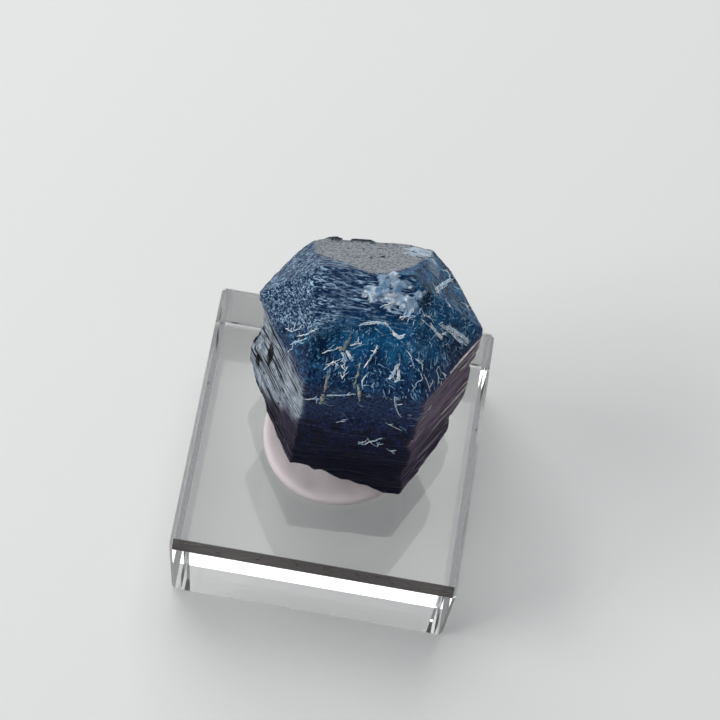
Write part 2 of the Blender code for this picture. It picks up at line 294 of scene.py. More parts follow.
def grain(points, seed):
    """Smooth noise from -1 to 1 at points whose unit is one grain."""
    size = 48
    table = np.random.default_rng(seed).uniform(-1.0, 1.0, (size, size, size))
    base = np.floor(points).astype(int)
    part = points - base
    part = part * part * (3.0 - 2.0 * part)
    total = np.zeros(len(points))
    for corner in itertools.product((0, 1), repeat=3):
        x, y, z = ((base + corner) % size).T
        total += np.prod(np.where(corner, part, 1.0 - part), axis=1) * table[x, y, z]
    return total


def step_up(values, low, high):
    """0 below low, 1 above high, and smooth between them."""
    share = np.clip((values - low) / (high - low), 0.0, 1.0)
    return share * share * (3.0 - 2.0 * share)


def terraces(values, steps, riser):
    """Turns a slope into flat treads with short risers."""
    values = values * steps
    tread = np.floor(values)
    return (tread + step_up(values - tread, 1.0 - riser, 1.0)) / steps


def crystal_frame():
    """The matrix from the crystal's own frame to the part's frame, in millimetres."""
    lean = Vector((math.tan(math.radians(LEAN_RIGHT)), math.tan(math.radians(LEAN_BACK)), 1.0))
    up = lean.normalized()
    right = Vector((0.0, 1.0, 0.0)).cross(up).normalized()
    back = up.cross(right)
    return Matrix.Translation(CRYSTAL_FOOT) @ Matrix((right, back, up)).transposed().to_4x4()


def outward(turn, tilt=90.0):
    """The direction turned from the front side and tilted from the long axis."""
    azimuth = math.radians(turn + FRONT_TURN - 90.0)
    tilt = math.radians(tilt)
    flat = math.sin(tilt)
    return np.array((flat * math.cos(azimuth), flat * math.sin(azimuth), math.cos(tilt)))


def crystal_faces():
    """Each flat face as its name, a point on it and its outward direction."""
    faces = []
    for name, (turn, distance, tilt, _) in SIDES.items():
        out = outward(turn)
        faces.append((name, out * distance, out))
        shoulder = out * distance + np.array((0.0, 0.0, SHOULDER_HEIGHT))
        faces.append((name + "_tip", shoulder, outward(turn, tilt)))
    for turn, distance in CORNERS:
        faces.append(("corner", outward(turn) * distance, outward(turn)))
    faces.append(("roof", np.array(ROOF_POINT), outward(*ROOF_SLOPE)))
    to_crystal = crystal_frame().inverted()
    for points in FOOT_FACES:
        first, second, third = (np.array(to_crystal @ Vector(p)) for p in points)
        out = np.cross(second - first, third - first)
        out /= np.linalg.norm(out)
        inside = np.array((0.0, 0.0, SHOULDER_HEIGHT / 2))
        faces.append(("foot", first, -out if out @ (inside - first) > 0 else out))
    return faces


def side_relief(points, out, depths, seed):
    """Growth steps, grooves and fine lines that run level across a side of the crystal."""
    across = np.cross((0.0, 0.0, 1.0), out)
    place, height = points @ across, points[:, 2]
    wave = 0.12 * grain(np.column_stack((place / 2.5, height / 2.0, 0 * place)), seed + 9)
    step, groove, line = depths
    field = grain(np.column_stack((place / 9.0, height / 1.7 + wave, 0 * place)), seed)
    relief = step * terraces(field, 5, 0.25)
    field = grain(np.column_stack((place / 4.5, height / 0.42 + 2 * wave, 0 * place)), seed + 1)
    relief += groove * field
    relief -= 1.3 * groove * step_up(field, 0.35, 0.6)
    field = grain(np.column_stack((place / 1.6, height / 0.24, 0 * place)), seed + 2)
    return relief + line * field


def etched_relief(points, strength):
    """The scaly, wavy etching: fine ripples across, and rounder scales towards the left."""
    x, y, z = points.T
    sway = 1.2 * grain(points / 1.6, 31)
    rise = (0.6 * y + z) / 0.32 + sway
    ripples = grain(np.column_stack((x / 1.2, rise, y / 2.0)), 32)
    scales = grain(points / np.array((0.42, 0.34, 0.34)), 34)
    broad = grain(points / 1.1, 36)
    left = step_up(-x, 2.0, 6.0)
    return strength * (ripples * (1.0 - 0.5 * left) + scales * (0.3 + 0.6 * left) + 0.8 * broad)


def crystal_reliefs(points, faces):
    """How far each face stands out at each point."""
    reliefs = np.zeros((len(points), len(faces)))
    for number, (name, _, out) in enumerate(faces):
        if name in SIDES:
            reliefs[:, number] = side_relief(points, out, SIDES[name][3], 100 + 10 * number)
        elif name == "roof":
            bend = np.maximum(points[:, 0] - 0.1, 0.0)
            reliefs[:, number] = etched_relief(points, 0.07) - 0.24 * bend
        elif name in ("left_front_tip", "left_back_tip"):
            reliefs[:, number] = etched_relief(points, 0.07)
        elif name == "back_tip":
            matte = matte_zone(points)
            pits = step_up(grain(points / 0.33, 41), 0.45, 0.7)
            rough = 0.03 * grain(points / 0.5, 42) + 0.02 * grain(points / 0.25, 43) - 0.07 * pits
            reliefs[:, number] = matte * rough + (1.0 - matte) * etched_relief(points, 0.05)
            reliefs[:, number] += 0.22 * back_rim(points, faces)
        elif name == "front_tip":
            reliefs[:, number] = 0.04 * grain(points / 2.4, 44) + 0.012 * grain(points / 0.6, 45)
        elif name == "right_back_tip":
            reliefs[:, number] = 0.06 * grain(points / 0.8, 53) + 0.03 * grain(points / 0.35, 54)
        elif name == "right_front_tip":
            across = np.cross((0.0, 0.0, 1.0), out)
            field = np.column_stack((points @ across / 5.0, points[:, 2] / 1.1, 0 * points[:, 0]))
            lines = grain(field * (2.0, 3.2, 1.0), 47)
            reliefs[:, number] = 0.05 * terraces(grain(field, 46), 4, 0.3) + 0.015 * lines
        elif name == "foot":
            hollows = grain(points / 2.2, 51) + 0.7 * grain(points / 0.8, 52)
            reliefs[:, number] = np.minimum(0.42 * hollows - 0.15, 0.12)
    return reliefs + flakes(points)[1][:, None]


def back_rim(points, faces):
    """1 along the left part of the back edge, where the dull face ends in a raised rim."""
    _, spot, out = next(face for face in faces if face[0] == "back")
    inside = (spot - points) @ out + 0.12 * grain(points / 0.5, 49)
    along = step_up(points[:, 0], -5.2, -4.6) * step_up(-points[:, 0], 0.6, 1.2)
    return step_up(-inside, -0.75, -0.5) * along


def matte_zone(points):
    """1 on the dull back face of the tip, whose left and right ends wander a little."""
    wander = 0.25 * grain(points / 0.8, 48)
    left, right = ((points[:, :2] - spot) @ inward for spot, inward in (MATTE_LEFT, MATTE_RIGHT))
    return step_up(left + wander, -0.1, 0.15) * step_up(right - wander, -0.1, 0.15)


def flakes(points):
    """The small flat flakes at the tip: which are bruised, how far each stands out, how it shines."""
    rng = np.random.default_rng(64)
    low, high, count = FLAKE_SITES
    sites = rng.uniform(low, high, (count, 3))
    bruised = np.zeros(count)
    for centre, radius in BRUISES:
        away = np.linalg.norm(sites - np.array(centre), axis=1)
        bruised = np.maximum(bruised, away < radius * rng.uniform(0.75, 1.3, count))
    tilts = rng.normal(0.0, 0.16, (count, 3))
    steps = rng.uniform(-0.05, 0.06, count)
    shine = rng.uniform(0.0, 1.0, count)
    away = ((points[:, None, :] - sites[None, :, :]) ** 2).sum(axis=2)
    near = away.argmin(axis=1)
    rise = steps[near] + (tilts[near] * (points - sites[near])).sum(axis=1)
    return bruised[near], bruised[near] * rise, shine[near]


def chip_space(points, centre, half_sizes, degrees):
    """The points in the space where a chip is a ball of radius 1, and the chip's turn."""
    turn = np.array(Matrix.Rotation(math.radians(degrees), 3, "Z"))
    return (points - np.array(centre)) @ turn / np.array(half_sizes), turn


def crystal_depths(points, faces):
    """How far each point lies outside each face and its relief, and the faces' directions."""
    places = np.array([point @ out for _, point, out in faces])
    outs = np.array([out for _, _, out in faces])
    depths = points @ outs.T - places - crystal_reliefs(points, faces)
    return depths, outs


def settle(points, faces, rounding):
    """Moves points onto the crystal's surface, with its edges worn round and its chips cut out."""
    for _ in range(5):
        depths, outs = crystal_depths(points, faces)
        columns = [depths[:, k] for k in range(len(faces))]
        moves = [np.broadcast_to(out, points.shape) for out in outs]
        jag = 0.2 * grain(points / 0.45, 71)
        for centre, half_sizes, degrees in CHIPS:
            local, turn = chip_space(points, centre, half_sizes, degrees)
            away = np.linalg.norm(local, axis=1)
            size = min(half_sizes)
            columns.append(np.maximum((1.0 + jag - away) * size, -9.0))
            inward = (local / np.array(half_sizes)) @ turn.T
            inward /= np.linalg.norm(inward, axis=1)[:, None] + 1e-9
            moves.append(-inward)
        stack = np.column_stack(columns) / rounding
        top = stack.max(axis=1)
        weights = np.exp(stack - top[:, None])
        total = weights.sum(axis=1)
        height = rounding * (top + np.log(total))
        weights /= total[:, None]
        move = sum(weights[:, k : k + 1] * moves[k] for k in range(len(moves)))
        move /= np.maximum((move * move).sum(axis=1), 0.3)[:, None]
        points = points - np.clip(0.9 * height, -0.5, 0.5)[:, None] * move
    return points


def cut_crystal(faces):
    """The crystal's plain faces cut from a block, as one closed bmesh."""
    bm = bmesh.new()
    bmesh.ops.create_cube(bm, size=80.0)
    for _, point, out in faces:
        whole = bm.verts[:] + bm.edges[:] + bm.faces[:]
        found = bmesh.ops.bisect_plane(
            bm, geom=whole, dist=1e-5, plane_co=point, plane_no=out, clear_outer=True
        )
        rim = [item for item in found["geom_cut"] if isinstance(item, bmesh.types.BMEdge)]
        bmesh.ops.edgeloop_fill(bm, edges=rim)
    bmesh.ops.recalc_face_normals(bm, faces=bm.faces[:])
    return bm


def remesh(bm, name, voxel):
    """Lays an even net of small faces over a closed bmesh."""
    mesh = bpy.data.meshes.new(name)
    bm.to_mesh(mesh)
    bm.free()
    rough = bpy.data.objects.new(name + "_rough", mesh)
    bpy.context.scene.collection.objects.link(rough)
    net = rough.modifiers.new("net", "REMESH")
    net.mode = "VOXEL"
    net.voxel_size = voxel
    even = bpy.data.meshes.new_from_object(rough.evaluated_get(bpy.context.evaluated_depsgraph_get()))
    bpy.data.objects.remove(rough)
    even.name = name
    return even


def point_values(mesh, name, values):
    """Keeps one value for each point of a mesh, for its material."""
    layer = mesh.attributes.new(name, "FLOAT", "POINT")
    layer.data.foreach_set("value", values.astype(np.float32))


POINT_VALUES = (
    "matte", "etched", "leftward", "grey_side", "ruddy_side", "clear_tip", "broken", "frost",
    "rim", "bloom", "upper", "shine", "hollow", "foot_ward",
)


def paint_crystal(mesh, points, faces):
    """Writes where each finish of the crystal lies, and where its painted reflection and painted shade go,
    from its faces and its relief.
    """
    depths, _ = crystal_depths(points, faces)
    names = [face[0] for face in faces]
    weights = np.exp((depths - depths.max(axis=1)[:, None]) / 0.1)
    weights /= weights.sum(axis=1)[:, None]

    def share(*wanted):
        return sum(weights[:, k] for k, name in enumerate(names) if name in wanted)

    x, y, z = points.T
    bruised, _, shine = flakes(points)
    frayed = grain(points / 0.5, 75) + 0.6 * grain(points / 0.2, 76)
    # Where painted shade lies inside the dark chips.
    hollow = np.zeros(len(points))
    for chip in DARK_CHIPS:
        away = np.linalg.norm(chip_space(points, *chip)[0], axis=1)
        hollow = np.maximum(hollow, step_up(-away, -1.3, -1.05))
    dull = matte_zone(points)
    wander = 0.5 * grain(points / 0.9, 72)
    # The etching of the left front tip face lies above a line that runs up from the left corner.
    scaly = step_up(z - 23.5 - 1.045 * x + wander, -0.3, 0.3)
    left = share("left_front_tip") * scaly
    back = share("back_tip") * (1.0 - dull) * (1.0 - step_up(x, 0.5, 1.5))
    etched = (share("roof", "left_back_tip") + left + back) * (1.0 - 0.7 * step_up(x + wander, 2.2, 3.6))
    clear = share("front_tip", "right_front_tip") + share("left_front_tip") - left
    bloom, facet = (
        1.0 - np.linalg.norm((points - centre) / half_sizes, axis=1) for centre, half_sizes in BLOOMS
    )
    # The blue of the tip reaches lower at the back than at the front.
    upper = z + 1.1 * grain(points / 2.0, 73) + 0.5 * grain(points / 0.7, 74) + 0.35 * (y + 7.5)
    for name, values in (
        ("upper", step_up(upper, 14.2, 19.6)),
        ("matte", share("back_tip") * dull),
        ("etched", etched),
        ("leftward", step_up(-x, 1.0, 5.0)),
        # The left sides and left corners, which get a painted grey reflection.
        ("grey_side", share("left_front", "left_back") + 0.8 * corner_share(points, weights, names)),
        # The right sides, whose ruddy tint is partly a painted reflection.
        ("ruddy_side", share("right_front", "right_back")),
        ("clear_tip", clear),
        ("broken", share("foot")),
        ("frost", bruised * step_up(frayed, -1.1, -0.35)),
        ("shine", shine),
        ("hollow", hollow),
        # The low part of the left sides, which is lowest at the left corner.
        ("foot_ward", step_up(17.3 - z + 1.4 * x + 2.0 * wander, 0.0, 1.8)),
        ("rim", share("back_tip") * back_rim(points, faces)),
        ("bloom", step_up(bloom + wander, 0.1, 0.5) + 0.3 * step_up(facet, 0.1, 0.2)),
    ):
        point_values(mesh, name, values)


def corner_share(points, weights, names):
    """The share of the blunted upright edges that lie on the left."""
    on_left = points[:, 0] < 0
    return sum(weights[:, k] for k, name in enumerate(names) if name == "corner") * on_left


# Noises in the quartz: the size of their grains in millimetres along the crystal's own axes,
# their detail and their distortion.
QUARTZ_GRAINS = {
    "clouds": ((3.0, 3.0, 3.0), 5.0, 0.0),
    "smoke": ((0.9, 0.9, 1.2), 4.0, 0.6),
    "flecks": ((0.22, 0.22, 0.22), 3.0, 0.0),
    "pits": ((0.6, 0.28, 0.28), 3.0, 0.3),
    "patches": ((1.3, 0.8, 0.8), 3.0, 0.5),
    "ripples": ((1.1, 0.14, 0.14), 2.0, 0.3),
    "scales": ((0.46, 0.17, 0.17), 2.0, 0.9),
    "level": ((7.0, 7.0, 0.5), 3.0, 0.15),
    "grooves": ((6.0, 6.0, 0.3), 3.0, 0.1),
    "hairlines": ((2.6, 2.6, 0.16), 3.0, 0.15),
    "streaks": ((0.15, 1.5, 1.5), 2.0, 0.5),
}
# Thin lines along the contours of the level noise: half the step between contours, and the heights
# over a contour where a line starts and where it is full.
# They carry painted shade in the left sides' grooves.
LEVEL_CONTOURS = (0.06, 0.0168, 0.0084)
# Shares of one colour over another: the noise, its value where the share is 0 and where it is full,
# and the full share.
QUARTZ_SHARES = {
    "cloudy": ("clouds", 0.4, 0.6, 1.0),
    "smoky": ("smoke", 0.5, 0.66, 0.6),
    "mottled": ("smoke", 0.42, 0.62, 1.0),
    "flecked": ("flecks", 0.58, 0.72, 0.8),
    # pitted marks painted shade in the dull face's pits.
    "pitted": ("pits", 0.37, 0.31, 1.0),
    "grained": ("flecks", 0.52, 0.38, 0.9),
    "lit": ("patches", 0.25, 0.55, 1.0),
    # lined marks painted shade in the left sides' grooves.
    "lined": ("grooves", 0.45, 0.415, 0.95),
    "streaked": ("streaks", 0.54, 0.7, 0.5),
    "specked": ("flecks", 0.6, 0.7, 0.35),
    # rippled and scaly mark painted highlights on the etching, where it is lit.
    "rippled": ("ripples", 0.48, 0.66, 0.75),
    "scaly": ("scales", 0.48, 0.64, 0.95),
    "frayed": ("smoke", 0.5, 0.42, 0.7),
    # scored and ledged mark painted highlights on ledges.
    "scored": ("hairlines", 0.58, 0.7, 0.5),
    "ledged": ("level", 0.6, 0.7, 0.5),
    "shaded": ("level", 0.5, 0.38, 0.75),
}
# Each finish: its first colour, then what lies over it, as shares and colours.
QUARTZ_FINISHES = {
    # The front, with painted highlights on its ledges.
    "front": (
        "front",
        (("mottled", "front_pale"), ("shoulder", "shoulder"), ("ledged", "front_line"),
         ("grained", "front"), ("specked", "tip_soft"), ("low_down", "front")),
    ),
    "tip": (
        "tip",
        (("cloudy", "tip_teal"), ("leftward", "tip"), ("smoky", "tip_soft"), ("streaked", "tip_soft"),
         ("flecked", "tip_pale")),
    ),
    # The etching, with painted highlights on its lit ripples and scales.
    "etched": ("etched_dark", (("etched_glints", "etched_pale"),)),
    # The left sides: a painted grey reflection, with painted shade in their grooves.
    "grey": (
        "grey_side",
        (("mottled", "grey_mottle"), ("foot_ward", "grey_low"), ("level_lines", "grey_groove"),
         ("lined", "grey_groove")),
    ),
    # The right sides: their own tint partly a painted reflection, with painted shade in grooves and painted
    # highlights on ledges.
    "ruddy": (
        "ruddy_side",
        (("low_down", "ruddy_low"), ("shaded", "ruddy_dark"), ("ledged", "ruddy_line"),
         ("scored", "ruddy_line")),
    ),
    # The dull face, with painted shade in its pits.
    "matte": ("matte", (("grained", "matte_dark"), ("pitted", "grey_groove"), ("rim", "broken"))),
    "bloom": ("bloom_dark", (("lit", "bloom"), ("grained", "bloom_dark"))),
    "frost": ("frost_dark", (("shine", "frost"), ("grained", "frost_dark"), ("frayed", "frost_low"))),
}


def quartz_material(colours):
    """Blue quartz: grown, etched and broken rather than cut, so it is glassy only on its tip faces.

    The eye gets a deep clouded blue there, painted highlights on thin ripples where it is etched, and on
    the sides the dull gloss of fine level grooves, as a painted reflection with painted shade in the
    grooves. The fibres in it let little light through.
    """
    material, tree, shader = new_material("etched blue quartz")
    turned = crystal_frame().to_3x3().transposed()
    place = add_node(tree, "ShaderNodeTexCoord").outputs["Object"]
    # Places in the crystal's own frame, in millimetres.
    place = add_node(
        tree,
        "ShaderNodeMapping",
        {
            "Vector": place,
            "Location": -(turned @ Vector(CRYSTAL_FOOT)),
            "Rotation": turned.to_euler(),
            "Scale": (1 / MM, 1 / MM, 1 / MM),
        },
    ).outputs["Vector"]
    height = add_node(tree, "ShaderNodeSeparateXYZ", {"Vector": place}).outputs["Z"]
    share = {
        name: add_node(tree, "ShaderNodeAttribute", attribute_name=name).outputs["Fac"]
        for name in POINT_VALUES
    }

    field = {}
    for name, (sizes, detail, distortion) in QUARTZ_GRAINS.items():
        scale = [1.0 / size for size in sizes]
        spread = add_node(tree, "ShaderNodeMapping", {"Vector": place, "Scale": scale}).outputs["Vector"]
        settings = {"Vector": spread, "Scale": 1.0, "Detail": detail, "Distortion": distortion}
        field[name] = add_node(tree, "ShaderNodeTexNoise", settings).outputs["Fac"]
    uneven = add_node(
        tree, "ShaderNodeMath", {0: field["clouds"], 1: 5.0, 2: height}, operation="MULTIPLY_ADD"
    ).outputs[0]

    ranges = [
        (name, field[noise], low, high, top) for name, (noise, low, high, top) in QUARTZ_SHARES.items()
    ]
    ranges += [("low_down", height, 11.0, 4.0, 1.0), ("shoulder", uneven, 12.0, 16.5, 0.85)]
    step, start, full = LEVEL_CONTOURS
    folded = add_node(tree, "ShaderNodeMath", {0: field["level"], 1: step}, operation="PINGPONG").outputs[0]
    ranges.append(("level_lines", folded, start, full, 1.0))
    for name, source, low, high, top in ranges:
        settings = {"Value": source, "From Min": low, "From Max": high, "To Max": top}
        share[name] = add_node(tree, "ShaderNodeMapRange", settings).outputs["Result"]

    # Ripples run into scales towards the left, and both fade in and out. Where lit, they carry painted
    # highlights.
    lines = add_node(
        tree,
        "ShaderNodeMix",
        {0: share["leftward"], 2: share["rippled"], 3: share["scaly"]},
        data_type="FLOAT",
    ).outputs[0]
    share["etched_glints"] = add_node(
        tree, "ShaderNodeMath", {0: lines, 1: share["lit"]}, operation="MULTIPLY"
    ).outputs[0]

    finish = {}
    for name, (first, layers) in QUARTZ_FINISHES.items():
        colour = colours[first]
        for over, upper in layers:
            settings = {0: share[over], 6: colour, 7: colours[upper]}
            colour = add_node(tree, "ShaderNodeMix", settings, data_type="RGBA").outputs[2]
        finish[name] = colour
    colour = finish["front"]
    for over, upper in (
        ("upper", finish["tip"]),
        # The left sides carry a painted grey reflection.
        ("grey_side", finish["grey"]),
        # The right sides' tint is partly a painted reflection.
        ("ruddy_side", finish["ruddy"]),
        ("etched", finish["etched"]),
        ("matte", finish["matte"]),
        ("bloom", finish["bloom"]),
        ("broken", colours["broken"]),
        # Painted shade inside the dark chips.
        ("hollow", colours["grey_groove"]),
        ("frost", finish["frost"]),
    ):
        settings = {0: share[over], 6: colour, 7: upper}
        colour = add_node(tree, "ShaderNodeMix", settings, data_type="RGBA").outputs[2]
    tree.links.new(colour, shader.inputs["Base Color"])

    # Roughness, and the fine relief that is too small for the mesh.
    rough, relief = 0.38, field["hairlines"]
    for over, finer, bumps in (
        ("clear_tip", 0.14, field["smoke"]),
        ("etched", 0.36, lines),
        ("matte", 0.6, field["flecks"]),
        ("broken", 0.3, field["smoke"]),
        ("frost", 0.45, field["flecks"]),
    ):
        settings = {0: share[over], 2: rough, 3: finer}
        rough = add_node(tree, "ShaderNodeMix", settings, data_type="FLOAT").outputs[0]
        settings = {0: share[over], 2: relief, 3: bumps}
        relief = add_node(tree, "ShaderNodeMix", settings, data_type="FLOAT").outputs[0]
    tree.links.new(rough, shader.inputs["Roughness"])
    settings = {"Height": relief, "Strength": 0.6, "Distance": 0.1 * MM}
    bump = add_node(tree, "ShaderNodeBump", settings).outputs["Normal"]
    tree.links.new(bump, shader.inputs["Normal"])
    shader.inputs["IOR"].default_value = QUARTZ_IOR
    shader.inputs["Specular IOR Level"].default_value = 0.035
    shader.inputs["Transmission Weight"].default_value = 0.1
    return material


def fibre_material(name, colour, sunk, roughness):
    """Fine mineral fibres and flakes in the quartz, dull and pale like chalk, and the pale strands of
    painted highlight on the right side's ledges.
    """
    material, tree, shader = new_material(name)
    place = add_node(tree, "ShaderNodeTexCoord").outputs["Object"]
    # They fade in and out nearly twice in a millimetre, as they dip into the quartz.
    settings = {"Vector": place, "Scale": 1.8 / MM, "Detail": 3.0}
    dips = add_node(tree, "ShaderNodeTexNoise", settings).outputs["Fac"]
    share = add_node(
        tree, "ShaderNodeMapRange", {"Value": dips, "From Min": 0.38, "From Max": 0.64}
    ).outputs["Result"]
    shades = add_node(
        tree, "ShaderNodeMix", {0: share, 6: sunk, 7: colour}, data_type="RGBA"
    ).outputs[2]
    tree.links.new(shades, shader.inputs["Base Color"])
    shader.inputs["Roughness"].default_value = roughness
    return material


def strands_mesh(name, strands, surface, stray):
    """Thin strands that lie in the crystal's surface. Each has a width and a path, in its frame."""
    curve = bpy.data.curves.new(name, "CURVE")
    curve.dimensions = "3D"
    curve.bevel_depth = 1.0
    curve.bevel_resolution = 0
    curve.use_fill_caps = True
    rng = np.random.default_rng(90)
    for width, path in strands:
        points = []
        for first, second in zip(path, path[1:]):
            first, second = Vector(first), Vector(second)
            count = max(1, round((second - first).length / STRAND_STEP))
            points += [first.lerp(second, k / count) for k in range(count)]
        points.append(Vector(path[-1]))
        spline = curve.splines.new("POLY")
        spline.points.add(len(points) - 1)
        for number, point in enumerate(points):
            aside = Vector(rng.normal(0.0, 0.025 * stray, 3)) if 0 < number < len(points) - 1 else Vector()
            spot, normal, _, _ = surface.find_nearest(point + aside)
            share = number / max(1, len(points) - 1)
            taper = 0.35 + 0.65 * math.sin(math.pi * (0.12 + 0.76 * share))
            taper *= 1.0 + stray * rng.uniform(-0.3, 0.6)
            radius = (1.1 if CREST < width < WIDEST else 0.7) * width * taper
            # Only a low crest of the widest strands shows.
            depth = 0.2 if width < WIDEST else -0.5
            spline.points[number].co = (*(spot + normal * depth * radius), 1.0)
            spline.points[number].radius = radius
    strand = bpy.data.objects.new(name, curve)
    bpy.context.scene.collection.objects.link(strand)
    mesh = bpy.data.meshes.new_from_object(strand.evaluated_get(bpy.context.evaluated_depsgraph_get()))
    bpy.data.objects.remove(strand)
    bpy.data.curves.remove(curve)
    mesh.name = name
    return mesh


def face_axes(face):
    """A face's middle at the shoulder, or the roof's own point, and the ways across and up it."""
    name, middle, out = face
    if name in SIDES:
        middle = middle + np.array((0.0, 0.0, SHOULDER_HEIGHT))
    across = np.cross((0.0, 0.0, 1.0), out)
    across /= np.linalg.norm(across)
    return middle, across, np.cross(out, across)


def drawn(drawings):
    """The strands that are drawn on each face, as a width and a path in the crystal's frame."""
    faces = {face[0]: face for face in crystal_faces()}
    strands = []
    for name, drawing in drawings.items():
        middle, across, uphill = face_axes(faces[name])
        for width, *path in drawing:
            strands.append((width, [tuple(middle + u * across + v * uphill) for u, v in path]))
    return strands


def bundled(strands, seed):
    """The same strands, but each thick one as three thin ones, side by side."""
    rng = np.random.default_rng(seed)
    bundles = []
    for width, path in strands:
        if width < THICK:
            bundles.append((width, path))
            continue
        path = [Vector(point) for point in path]
        outwards = path[0] - Vector((0.0, 0.0, SHOULDER_HEIGHT - 5.0))
        aside = (path[-1] - path[0]).cross(outwards).normalized()
        for shift in (-0.75, 0.0, 0.75):
            spread = aside * width * (shift + rng.normal(0.0, 0.15))
            first = path[0].lerp(path[1], rng.uniform(0.0, 0.3))
            last = path[-1].lerp(path[-2], rng.uniform(0.0, 0.3))
            bundles.append((0.6 * width, [point + spread for point in (first, *path[1:-1], last)]))
    return bundles


def branched(strands, seed):
    """The same strands, each with one to four short thin branches."""
    rng = np.random.default_rng(seed)
    branches = []
    for width, path in strands:
        for _ in range(rng.integers(1, 5)):
            k = rng.integers(0, len(path) - 1)
            first, second = Vector(path[k]), Vector(path[k + 1])
            start = first.lerp(second, rng.uniform(0.0, 1.0))
            stray = Vector(rng.normal(0.0, 0.7, 3))
            heading = ((second - first).normalized() + stray).normalized() * rng.uniform(0.2, 0.8)
            bend = Vector(rng.normal(0.0, 0.08, 3))
            middle = start + 0.5 * heading + bend
            branches.append((rng.uniform(0.03, 0.06), (start, middle, start + heading)))
    return list(strands) + branches


def fine_strands(count, seed):
    """Many short hairs, which fan out and down from the tip, and lie nearly level on the front."""
    rng = np.random.default_rng(seed)
    faces = {face[0]: face for face in crystal_faces()}
    strands = []
    for name, share, low, high in (
        ("front_tip", 0.4, (-3.6, 0.2), (4.4, 5.6)),
        ("right_front_tip", 0.55, (-4.2, 0.3), (4.2, 6.2)),
        ("right_back_tip", 0.15, (-4.2, 0.2), (4.2, 5.5)),
        ("front", 0.08, (-5.0, -5.0), (4.5, -0.2)),
    ):
        point, across, uphill = face_axes(faces[name])
        centres = rng.uniform(low, high, (14, 2))
        for _ in range(int(count * share)):
            u, v = rng.uniform(low, high)
            if rng.random() < 0.55:
                u, v = centres[rng.integers(14)] + rng.normal(0.0, 0.5, 2)
            fan = math.atan2(v - 7.5, u + rng.normal(0.0, 2.0))
            turn = fan + rng.normal(0.0, 0.5) if name != "front" else rng.normal(0.0, 0.5)
            length = rng.gamma(1.2, 0.26) + 0.08
            bend = rng.normal(0.0, 0.5)
            path = []
            for k in range(4):
                path.append(tuple(point + across * u + uphill * v))
                u += math.cos(turn) * length / 3
                v += math.sin(turn) * length / 3
                turn += bend / 3
            strands.append((rng.uniform(0.03, 0.065), path))
    return strands


def crystal_to_metres(mesh):
    """Puts a mesh made in the crystal's own frame where it belongs, in metres."""
    mesh.transform(Matrix.Scale(MM, 4) @ crystal_frame())


def acrylic_material():
    """Cast acrylic, polished but for one sawn edge: clear as water, with a scuffed grey strip."""
    material, tree, shader = new_material("clear cast acrylic")
    place = add_node(tree, "ShaderNodeTexCoord").outputs["Object"]
    spot = add_node(tree, "ShaderNodeSeparateXYZ", {"Vector": place}).outputs
    # The sawn strip is the bevel along the front top edge.
    depth = add_node(tree, "ShaderNodeMath", {0: spot["Z"], 1: spot["Y"]}, operation="SUBTRACT").outputs[0]
    corner = BLOCK_HEIGHT + BLOCK_SIDE / 2
    start, full = (corner - share * SAWN_BEVEL for share in (1.08, 1.02))
    strip = add_node(
        tree, "ShaderNodeMapRange", {"Value": depth, "From Min": start * MM, "From Max": full * MM}
    ).outputs["Result"]
    # Saw marks about a millimetre long and a fifth of that wide.
    saw = add_node(tree, "ShaderNodeMapping", {"Vector": place, "Scale": (0.9 / MM, 5 / MM, 5 / MM)})
    settings = {"Vector": saw.outputs[0], "Scale": 1.0, "Detail": 3.0}
    marks = add_node(tree, "ShaderNodeTexNoise", settings).outputs["Fac"]
    settings = {"Value": marks, "From Min": 0.35, "From Max": 0.6, "To Min": 0.25, "To Max": 0.7}
    worn = add_node(tree, "ShaderNodeMapRange", settings).outputs["Result"]
    rough = add_node(tree, "ShaderNodeMix", {0: strip, 2: 0.015, 3: worn}, data_type="FLOAT").outputs[0]
    tree.links.new(rough, shader.inputs["Roughness"])
    colour = add_node(
        tree, "ShaderNodeMix", {0: strip, 6: linear("#fbfcfc"), 7: linear("#3d3736")}, data_type="RGBA"
    ).outputs[2]
    tree.links.new(colour, shader.inputs["Base Color"])
    shader.inputs["IOR"].default_value = ACRYLIC_IOR
    shader.inputs["Transmission Weight"].default_value = 1.0
    settings = {"Height": marks, "Strength": strip, "Distance": 0.15 * MM}
    bump = add_node(tree, "ShaderNodeBump", settings).outputs["Normal"]
    tree.links.new(bump, shader.inputs["Normal"])
    return material


def putty_material(colour):
    """Synthetic rubber putty, pressed by thumb: white, dull and a little uneven."""
    material, tree, shader = new_material("pressed white putty")
    place = add_node(tree, "ShaderNodeTexCoord").outputs["Object"]
    settings = {"Vector": place, "Scale": 0.7 / MM, "Detail": 3.0}
    press = add_node(tree, "ShaderNodeTexNoise", settings).outputs["Fac"]
    dark = [0.86 * c for c in colour]
    shades = add_node(tree, "ShaderNodeMix", {0: press, 6: dark, 7: colour}, data_type="RGBA").outputs[2]
    tree.links.new(shades, shader.inputs["Base Color"])
    shader.inputs["Roughness"].default_value = 0.6
    settings = {"Height": press, "Strength": 0.4, "Distance": 0.15 * MM}
    bump = add_node(tree, "ShaderNodeBump", settings).outputs["Normal"]
    tree.links.new(bump, shader.inputs["Normal"])
    return material


